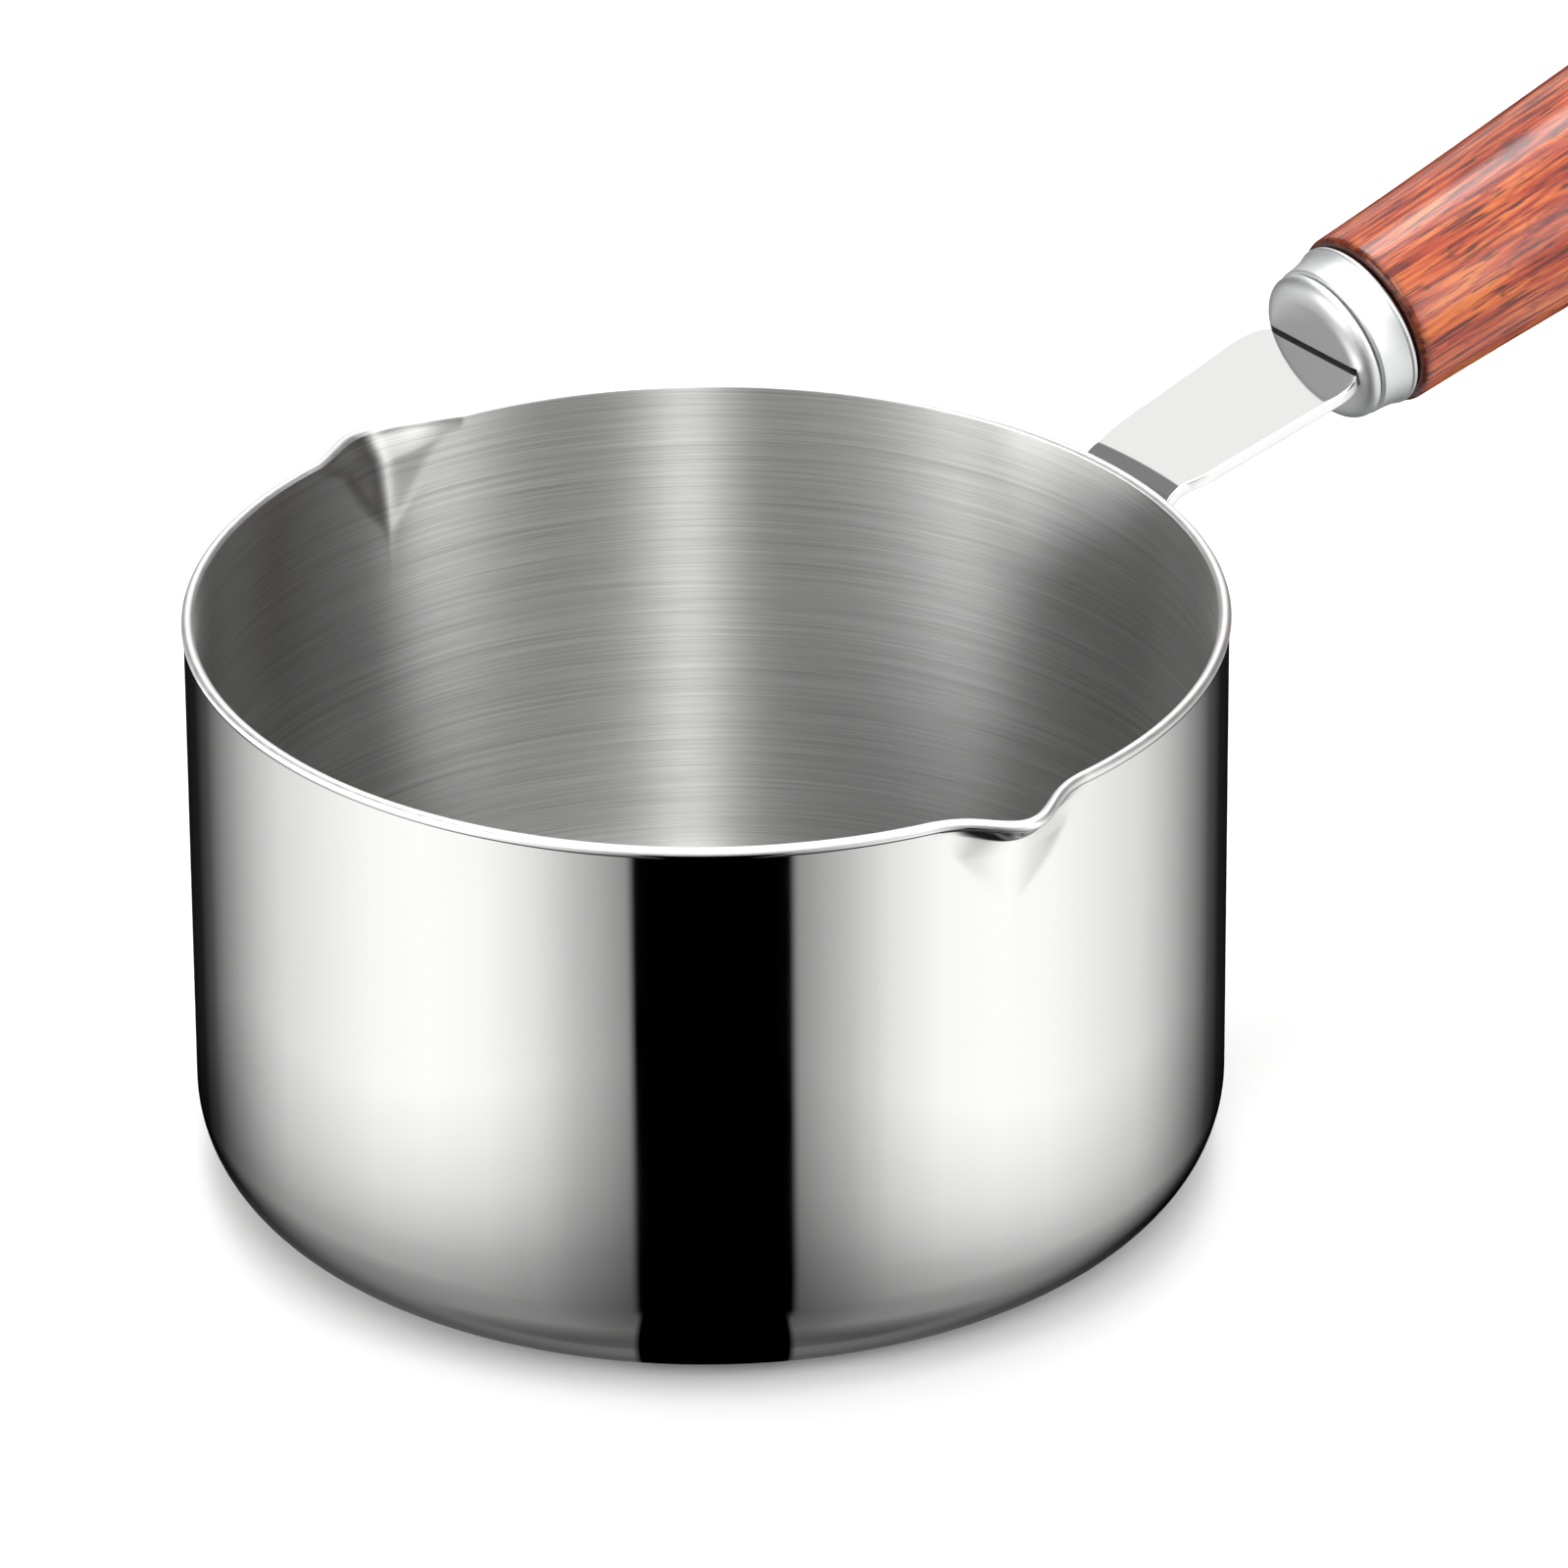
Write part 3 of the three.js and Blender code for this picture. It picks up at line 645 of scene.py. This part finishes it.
def lacqueredRosewood():
    material, tree = newMaterial("rosewood_turned_gloss_lacquer")
    place = addNode(tree, "TexCoord")
    start = tuple(handleOrigin * mm)
    tilt = (0, -strip["pitch"], 0)
    noises = []
    for kind, detail in (("grain", 4.0), ("figure", 2.0), ("pore", 1.0), ("fleck", 2.0)):
        long, wide = woodFinish[kind + "Length"] * mm, woodFinish[kind + "Width"] * mm
        space = addNode(tree, "Mapping", {"vector_type": "TEXTURE", "Location": start, "Rotation": tilt,
                                          "Scale": (long, wide, wide)}, {"Vector": (place, "Object")})
        noises.append(addNode(tree, "TexNoise",
                              {"Scale": 1.0, "Detail": detail, "Distortion": woodFinish["waviness"]},
                              {"Vector": (space, "Vector")}))
    grain, figure, pores, flecks = noises
    sway = addNode(tree, "Math", {"operation": "MULTIPLY_ADD", 1: woodFinish["figureShare"],
                                  2: woodFinish["figureShift"]}, {0: (figure, "Fac")})
    tone = addNode(tree, "Math", {"operation": "ADD"}, {0: (grain, "Fac"), 1: (sway, "Value")})
    shades = [linearColour(woodFinish[key]) for key in ("dark", "middle", "pale")]
    colour = addNode(tree, "ValToRGB", {"stops": list(zip(woodFinish["tones"], shades))},
                     {"Fac": (tone, "Value")})
    levels = []
    for kind, noise in (("pore", pores), ("fleck", flecks)):
        first, last = woodFinish[kind + "Span"]
        levels.append(addNode(tree, "MapRange",
                              {"From Min": first, "From Max": last, "To Max": woodFinish[kind + "Share"]},
                              {"Value": (noise, "Fac")}))
    poreLevel, fleckLevel = levels
    poreShare = addNode(tree, "Math", {"operation": "MAXIMUM"},
                        {0: (poreLevel, "Result"), 1: (fleckLevel, "Result")})
    pored = addNode(tree, "MixRGB", {"Color2": linearColour(woodFinish["pore"])},
                    {"Fac": (poreShare, "Value"), "Color1": (colour, "Color")})
    handleSpace = addNode(tree, "Mapping", {"vector_type": "TEXTURE", "Location": start, "Rotation": tilt},
                          {"Vector": (place, "Object")})
    parts = addNode(tree, "SeparateXYZ", links={"Vector": (handleSpace, "Vector")})
    # The grip's front edge turns near black over its first millimetres: lacquered end grain, and painted
    # shade of the gap to the ferrule.
    lacquerShadeEnd = gripFront + woodFinish["lacquerShadeDepth"]
    lacquerShadeShare = addNode(tree, "MapRange", {"From Min": gripFront * mm, "From Max": lacquerShadeEnd * mm,
                                           "To Min": woodFinish["lacquerShadeShare"], "To Max": 0.0},
                        {"Value": (parts, "X")})
    edged = addNode(tree, "MixRGB", {"Color2": linearColour(woodFinish["edge"])},
                    {"Fac": (lacquerShadeShare, "Result"), "Color1": (pored, "Color")})
    bump = addNode(tree, "Bump", {"Strength": woodFinish["poreStrength"],
                                  "Distance": woodFinish["poreDepth"] * mm, "invert": True},
                   {"Height": (poreShare, "Value")})
    shader = addNode(tree, "BsdfPrincipled",
                     {"Roughness": woodFinish["roughness"], "IOR": woodFinish["ior"],
                      "Specular IOR Level": woodFinish["specular"], "Coat Weight": woodFinish["coat"],
                      "Coat Roughness": woodFinish["coatRoughness"], "Coat IOR": woodFinish["ior"]},
                     {"Base Color": (edged, "Color"), "Normal": (bump, "Normal")})
    addNode(tree, "OutputMaterial", links={"Surface": (shader, "BSDF")})
    return material


def makeGrip():
    front, swell, end = grip["frontRadius"], grip["swellRadius"], grip["endRadius"]
    rounding, endRounding = grip["frontRounding"], grip["endRounding"]
    swellAt = gripFront + grip["swellPlace"]
    roundStart = gripEnd - endRounding
    third = grip["swellPlace"] / 3
    endThird = (roundStart - swellAt) / 3
    tongueBoreEnd = tongueEnd - faceStart + strip["fitGap"]
    profile = np.concatenate([
        stretch((grip["tongueBore"], grip["tenonFront"]), (grip["tenonRadius"], grip["tenonFront"]),
                (grip["tenonRadius"], gripFront)),
        arc(front - rounding, gripFront + rounding, rounding, -90, 0, 10),
        spline((front, gripFront + rounding), (front + grip["frontSlope"] * third, gripFront + third),
               (swell, swellAt - third), (swell, swellAt), 40)[1:],
        spline((swell, swellAt), (swell, swellAt + endThird),
               (end + grip["endSlope"] * endThird, roundStart - endThird), (end, roundStart), 24)[1:],
        spline((end, roundStart), (end - grip["endSlope"] * endRounding / 2, gripEnd - endRounding / 2),
               (end - endRounding / 2, gripEnd), (end - endRounding, gripEnd), 10)[1:],
        stretch((grip["rodBore"], gripEnd), (grip["rodBore"], tongueBoreEnd),
                (grip["tongueBore"], tongueBoreEnd)),
    ])
    mesh = turned("grip", profile, count=grip["columns"], ring=True)
    addPiece("turnedGrip", mesh, "pan", "wooden_grip", "grip_wood", lacqueredRosewood())


makeGrip()


# End cap, eye nut and ring at the far end
cap = {
    "radius": 7.75, "rim": 1.0, "thickness": 2.4, "crown": 3.8, "domeRise": 1.9, "domeReach": 2.4,
    "bore": 2.8, "edge": 0.25,
}
nut = {
    "bossRadius": 3.5, "bossTaper": 2.2, "taperEase": 1.2, "neck": 1.5, "neckEase": (1.1, 0.3),
    "rootOverlap": 0.6, "chamfer": 0.4, "threadDepth": 5.0, "threadWeb": 1.5, "threadRadius": 2.8,
    "holeRadius": 1.8, "eyeWall": 3.4, "eyeThickness": 4.5, "holeEdge": 0.7, "outerEdge": 1.1,
    "bossColumns": 72, "eyeColumns": 96,
}
capFront = gripEnd + strip["fitGap"]
capBack = capFront + cap["thickness"]
nutFront = capBack + strip["fitGap"]
bossEnd = nutFront + nut["threadDepth"] + nut["threadWeb"]
eyeCentre = bossEnd + nut["eyeWall"]
eyePlace = handleOrigin + eyeCentre * alongAxis


def makeEndCap():
    edge, rim = cap["edge"], cap["radius"]
    profile = np.concatenate([
        stretch((cap["bore"], capFront)),
        arc(rim - edge, capFront + edge, edge, -90, 0, 6),
        spline((rim, capFront + cap["rim"]), (rim, capFront + cap["domeRise"]),
               (cap["crown"] + cap["domeReach"], capBack), (cap["crown"], capBack), 24),
        stretch((cap["bore"], capBack)),
    ])
    mesh = turned("cap", profile, ring=True)
    addPiece("domedEndCap", mesh, "pan", "end_cap", "fitting_steel", mirrorSteel)


# The eye is a round-edged section carried round the hole's axis. The boss is turned and runs into it.
def makeEyeNut():
    half, hole = nut["eyeThickness"] / 2, nut["holeRadius"]
    outer = hole + nut["eyeWall"]
    inEdge, outEdge = nut["holeEdge"], nut["outerEdge"]
    section = np.concatenate([
        arc(hole + inEdge, half - inEdge, inEdge, 180, 90, 7),
        arc(outer - outEdge, half - outEdge, outEdge, 90, 0, 9),
        arc(outer - outEdge, outEdge - half, outEdge, 0, -90, 9),
        arc(hole + inEdge, inEdge - half, inEdge, -90, -180, 7),
    ])
    angle = fullTurn(nut["eyeColumns"])[None, :, None]
    radius, across = section[:, None, :1], section[:, None, 1:]
    points = eyePlace + radius * (np.cos(angle) * alongAxis + np.sin(angle) * upAxis) + across * sideAxis
    eye = gridMesh("eye", points, ring=True)
    boss, chamfer = nut["bossRadius"], nut["chamfer"]
    taperStart = bossEnd - nut["bossTaper"]
    neckIn, neckBack = nut["neckEase"]
    root = bossEnd + nut["rootOverlap"]
    threadEnd = nutFront + nut["threadDepth"]
    profile = np.concatenate([
        stretch((nut["threadRadius"], nutFront), (boss - chamfer, nutFront), (boss, nutFront + chamfer)),
        spline((boss, taperStart), (boss, taperStart + nut["taperEase"]),
               (boss - neckIn, bossEnd - neckBack), (boss - nut["neck"], root), 12),
        stretch((0, root), (0, threadEnd), (nut["threadRadius"], threadEnd)),
    ])
    mesh = combine("eyeNut", turned("boss", profile, count=nut["bossColumns"], ring=True), eye, "UNION")
    addPiece("screwedEyeNut", mesh, "pan", "eye_nut", "fitting_steel", mirrorSteel)


# Hanging ring: round wire bent to a circle and butt welded, with a shallow neck at the joint
ring = {
    "middleRadius": 11.3, "wireRadius": 1.3, "rows": 300, "columns": 32,
    "jointDepth": 0.16, "jointWidth": 0.035, "jointAngle": math.radians(205),
}


# A torus whose wire thins at the joint, by a bell that is the exponential of a square.
def makeRing():
    angle = fullTurn(ring["rows"])[:, None, None]
    around = fullTurn(ring["columns"])[None, :, None]
    neck = 1 - ring["jointDepth"] * np.exp(-((angle - ring["jointAngle"]) / ring["jointWidth"]) ** 2)
    wire = ring["wireRadius"] * neck
    radius = ring["middleRadius"] + wire * np.cos(around)
    centre = eyePlace - np.array([0, 0, ring["middleRadius"]])
    points = (centre + radius * (np.cos(angle) * np.array([0, 0, 1]) + np.sin(angle) * np.array([0, 1, 0]))
              + wire * np.sin(around) * np.array([1, 0, 0]))
    mesh = gridMesh("ring", points, ring=True)
    addPiece("wireRing", mesh, "ring", "hanging_ring", "fitting_steel", mirrorSteel)


makeEndCap()
makeEyeNut()
makeRing()
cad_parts["tie_rod"].data.materials.clear()
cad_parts["tie_rod"].data.materials.append(softSteel)
print("handle fittings made")


# Studio, in six bands from straight down to straight up. Stops are degrees round from the camera's own
# direction and radiance. A mirrored band is the same to the left and to the right of its centre. A band
# takes over from the one below it between two heights, from -1 straight down to 1 straight up.
studio = {
    "bands": [
        # straight down, dark on the camera's side and grey behind
        {"mirrored": True, "stops": [(0, 0.0), (17, 0.0), (24, 0.05), (100, 0.05), (125, 0.6), (180, 0.6)]},
        # two tall panels low down, with a black gap between them and darkness behind
        {"mirrored": True, "from": -0.96, "to": -0.84,
         "stops": [(0, 0.0), (17, 0.0), (18.6, 0.39), (30, 0.72), (40, 1.10), (52, 1.35), (66, 1.42),
                   (80, 1.36), (95, 1.17), (109, 0.99), (119, 0.75), (131, 0.43), (146, 0.09),
                   (156, 0.015), (180, 0.0)]},
        # softboxes to the left and right, and a bar close to the camera
        {"mirrored": False, "from": -0.08, "to": 0.20,
         "stops": [(-180, 1.2), (-158, 1.2), (-155, 0.15), (-112, 0.15), (-108, 0.5), (-97, 0.5),
                   (-92, 0.1), (-80, 0.5), (-66, 4.5), (-58, 6.5), (-48, 4.0), (-36, 2.2), (-20, 1.3),
                   (-10, 0.3), (5, 2.6), (13, 0.8), (22, 0.1), (42, 0.4), (54, 3.0), (62, 6.0), (70, 3.0),
                   (84, 0.5), (95, 0.05), (155, 0.05), (158, 1.2), (180, 1.2)]},
        # the bar again, the right softbox, and a white backdrop
        {"mirrored": False, "from": 0.48, "to": 0.64,
         "stops": [(-180, 1.2), (-157, 1.2), (-154, 0.3), (-110, 0.3), (-100, 0.0), (-11, 0.0), (-3, 2.5),
                   (5, 12.5), (11, 6.0), (20, 2.0), (36, 2.2), (56, 2.4), (76, 0.8), (90, 0.0), (155, 0.0),
                   (158, 1.2), (180, 1.2)]},
        # dim ceiling, with one bright lamp high up behind the pan, and a lamp straight above
        {"mirrored": True, "from": 0.80, "to": 0.90,
         "stops": [(0, 1.8), (135, 1.8), (155, 10.0), (180, 10.0)]},
        {"mirrored": True, "from": 0.96, "to": 0.985, "stops": [(0, 3.5), (180, 3.5)]},
    ],
    "centre": 1.0,  # degrees
    "topHeight": 1500, "topSize": 1600, "topPower": 2.0,
    "sideTurn": -91.0, "sideRoll": 15.7,  # degrees, the turn from the camera's own direction
    "sideDistance": 1500, "sideHeight": 90, "sideSize": (1180, 330), "sidePower": 18.5,
    "floorSize": 6000, "floorColour": "#e0e0e0", "floorLift": 0.05, "floorDrop": 0.02,
    # painted shade, seen only by polished steel: distance from the pan's middle and share of light let
    # through
    "shade": [(38, 0.12), (45, 0.21), (52, 0.32), (58, 0.44), (64, 0.62), (70, 0.77), (78, 0.89),
              (88, 1.0)],
    "shadeReach": 88, "shadeStretch": 1.34, "shadeBehind": 3.0, "shadeShift": 2.5,
    # painted glow near the pan's foot, and a fan that is kept black as a painted reflection of the gap
    # between the panels
    "glow": 0.11, "glowNear": 38, "glowFar": 49, "stripeFan": 0.24, "stripeEdge": (-0.9, -0.2),
}
cameraBearing = math.atan2(towardsCamera.y, towardsCamera.x)
white = (1, 1, 1, 1)


def makeWorld():
    world = bpy.data.worlds.new("studio")
    bpy.context.scene.world = world
    world.use_nodes = True
    tree = world.node_tree
    tree.nodes.clear()
    place = addNode(tree, "TexCoord")
    facing = addNode(tree, "Mapping", {"Rotation": (0, 0, -cameraBearing)},
                     {"Vector": (place, "Generated")})
    parts = addNode(tree, "SeparateXYZ", links={"Vector": (facing, "Vector")})
    angle = addNode(tree, "Math", {"operation": "ARCTAN2"}, {0: (parts, "Y"), 1: (parts, "X")})
    offset = addNode(tree, "Math", {"operation": "SUBTRACT", 1: math.radians(studio["centre"])},
                     {0: (angle, "Value")})
    either = addNode(tree, "Math", {"operation": "ABSOLUTE"}, {0: (offset, "Value")})
    mirrored = addNode(tree, "Math", {"operation": "DIVIDE", 1: math.pi}, {0: (either, "Value")})
    allRound = addNode(tree, "Math", {"operation": "MULTIPLY_ADD", 1: 0.5 / math.pi, 2: 0.5},
                       {0: (angle, "Value")})
    value = None
    for band in studio["bands"]:
        peak = max(radiance for degrees, radiance in band["stops"])  # a ramp holds 0 to 1
        share, first, span = (mirrored, 0, 180) if band["mirrored"] else (allRound, -180, 360)
        stops = [((degrees - first) / span, (*[radiance / peak] * 3, 1.0))
                 for degrees, radiance in band["stops"]]
        ramp = addNode(tree, "ValToRGB", {"stops": stops}, {"Fac": (share, "Value")})
        light = addNode(tree, "Math", {"operation": "MULTIPLY", 1: peak}, {0: (ramp, "Color")})
        if value:
            above = addNode(tree, "MapRange", {"From Min": band["from"], "From Max": band["to"]},
                            {"Value": (parts, "Z")})
            value = addNode(tree, "Mix", {"data_type": "FLOAT"},
                            {0: (above, "Result"), 2: (value, 0), 3: (light, "Value")})
        else:
            value = light
    panels = addNode(tree, "Background", {"Color": white}, {"Strength": (value, 0)})
    backdrop = addNode(tree, "Background", {"Color": white, "Strength": 1.0})
    path = addNode(tree, "LightPath")
    seen = addNode(tree, "MixShader", links={0: (path, "Is Camera Ray"), 1: (panels, "Background"),
                                             2: (backdrop, "Background")})
    addNode(tree, "OutputWorld", links={"Surface": (seen, "Shader")})


def makeTopLight():
    lamp = bpy.data.lights.new("topSoftbox", "AREA")
    lamp.size = studio["topSize"] * mm
    lamp.energy = studio["topPower"]
    light = bpy.data.objects.new("topSoftbox", lamp)
    light.location = (0, 0, studio["topHeight"] * mm)
    light.visible_glossy = False
    bpy.context.scene.collection.objects.link(light)


# Low softbox to the camera's left, its far end lower: it lights the inside just under the rim, near the
# handle. It is flagged off from all but the bowl.
def makeSideLight(lit):
    lamp = bpy.data.lights.new("lowSoftbox", "AREA")
    lamp.shape = "RECTANGLE"
    lamp.size, lamp.size_y = (length * mm for length in studio["sideSize"])
    lamp.energy = studio["sidePower"]
    bearing = cameraBearing + math.radians(studio["sideTurn"])
    outward = Vector((math.cos(bearing), math.sin(bearing), 0))
    place = outward * studio["sideDistance"] * mm + Vector((0, 0, studio["sideHeight"] * mm))
    turn = outward.to_track_quat("Z", "Y").to_matrix().to_4x4()
    roll = Matrix.Rotation(math.radians(studio["sideRoll"]), 4, "Z")
    light = bpy.data.objects.new("lowSoftbox", lamp)
    light.matrix_world = Matrix.Translation(place) @ turn @ roll
    light.visible_camera = False
    flagged = bpy.data.collections.new("lowSoftboxLights")
    flagged.objects.link(lit)
    light.light_linking.receiver_collection = flagged
    bpy.context.scene.collection.objects.link(light)


# Pale table: the camera sees it lit and shadowed, and polished steel sees through it to the panels. What
# the steel
# sees there is painted: a painted shade dims it near the pan in place of the pan's own shadow, a faint
# painted glow lightens it close to the foot, and a fan in line with the black gap between the panels is
# kept black, a painted reflection of that gap down to the base.
def makeFloor():
    material, tree = newMaterial("pale_table")
    place = addNode(tree, "TexCoord")
    bearing = cameraBearing + math.radians(studio["centre"]) / 2
    squeezed = addNode(tree, "Mapping", {"vector_type": "TEXTURE", "Rotation": (0, 0, bearing),
                                         "Scale": (studio["shadeStretch"], 1, 1)},
                       {"Vector": (place, "Object")})
    parts = addNode(tree, "SeparateXYZ", links={"Vector": (squeezed, "Vector")})
    behind = addNode(tree, "Math", {"operation": "MULTIPLY", 1: -studio["shadeBehind"]}, {0: (parts, "X")})
    ahead = addNode(tree, "Math", {"operation": "MAXIMUM"}, {0: (parts, "X"), 1: (behind, "Value")})
    shifted = addNode(tree, "Math", {"operation": "ADD", 1: studio["shadeShift"] * mm}, {0: (parts, "Y")})
    spread = addNode(tree, "CombineXYZ", links={"X": (ahead, "Value"), "Y": (shifted, "Value")})
    distance = addNode(tree, "VectorMath", {"operation": "LENGTH"}, {0: (spread, "Vector")})
    reach = addNode(tree, "Math", {"operation": "DIVIDE", 1: studio["shadeReach"] * mm},
                    {0: (distance, "Value")})
    # Painted shade round the pan's foot, standing in for its shadow: the share let through grows with the
    # squeezed distance.
    stops = [(radius / studio["shadeReach"], (*[share] * 3, 1.0)) for radius, share in studio["shade"]]
    shade = addNode(tree, "ValToRGB", {"stops": stops}, {"Fac": (reach, "Value")})
    # Painted reflection: a fan towards the camera, in line with the black gap between the panels, lets
    # nothing through.
    aside = addNode(tree, "Math", {"operation": "ABSOLUTE"}, {0: (parts, "Y")})
    fan = addNode(tree, "Math", {"operation": "MULTIPLY_ADD", 1: -studio["stripeFan"]},
                  {0: (parts, "X"), 2: (aside, "Value")})
    stripeStart, stripeEnd = studio["stripeEdge"]
    outside = addNode(tree, "MapRange", {"From Min": stripeStart * mm, "From Max": stripeEnd * mm},
                      {"Value": (fan, "Value")})
    clearing = addNode(tree, "Math", {"operation": "MULTIPLY"},
                       {0: (shade, "Color"), 1: (outside, "Result")})
    through = addNode(tree, "BsdfTransparent", links={"Color": (clearing, "Value")})
    # Painted glow: the table gives off light close to the pan's foot, outside the fan, seen only by
    # polished steel.
    fade = addNode(tree, "MapRange",
                   {"From Min": studio["glowNear"] * mm, "From Max": studio["glowFar"] * mm,
                    "To Min": studio["glow"], "To Max": 0.0}, {"Value": (distance, "Value")})
    dim = addNode(tree, "Math", {"operation": "MULTIPLY"}, {0: (fade, "Result"), 1: (outside, "Result")})
    near = addNode(tree, "Emission", {"Color": white}, {"Strength": (dim, "Value")})
    clear = addNode(tree, "AddShader", links={0: (through, "BSDF"), 1: (near, "Emission")})
    paper = addNode(tree, "BsdfDiffuse", {"Color": linearColour(studio["floorColour"])})
    path = addNode(tree, "LightPath")
    lift = addNode(tree, "Math", {"operation": "MULTIPLY", 1: studio["floorLift"]},
                   {0: (path, "Is Camera Ray")})
    lifted = addNode(tree, "Emission", {"Color": white}, {"Strength": (lift, "Value")})
    seen = addNode(tree, "AddShader", links={0: (paper, "BSDF"), 1: (lifted, "Emission")})
    surface = addNode(tree, "MixShader", links={0: (path, "Is Glossy Ray"), 1: (seen, "Shader"),
                                                2: (clear, "Shader")})
    addNode(tree, "OutputMaterial", links={"Surface": (surface, "Shader")})
    half = studio["floorSize"] / 2 * mm
    level = -studio["floorDrop"] * mm  # a hair under the base, so that the two share no plane
    mesh = bpy.data.meshes.new("floor")
    corners = [(-half, -half, level), (half, -half, level), (half, half, level), (-half, half, level)]
    mesh.from_pydata(corners, [], [(0, 1, 2, 3)])
    mesh.materials.append(material)
    floor = bpy.data.objects.new("floor", mesh)
    bpy.context.scene.collection.objects.link(floor)


makeWorld()
makeTopLight()
makeSideLight(bowlPiece)
makeFloor()
bpy.context.scene.view_settings.view_transform = "Standard"
print("studio lit")
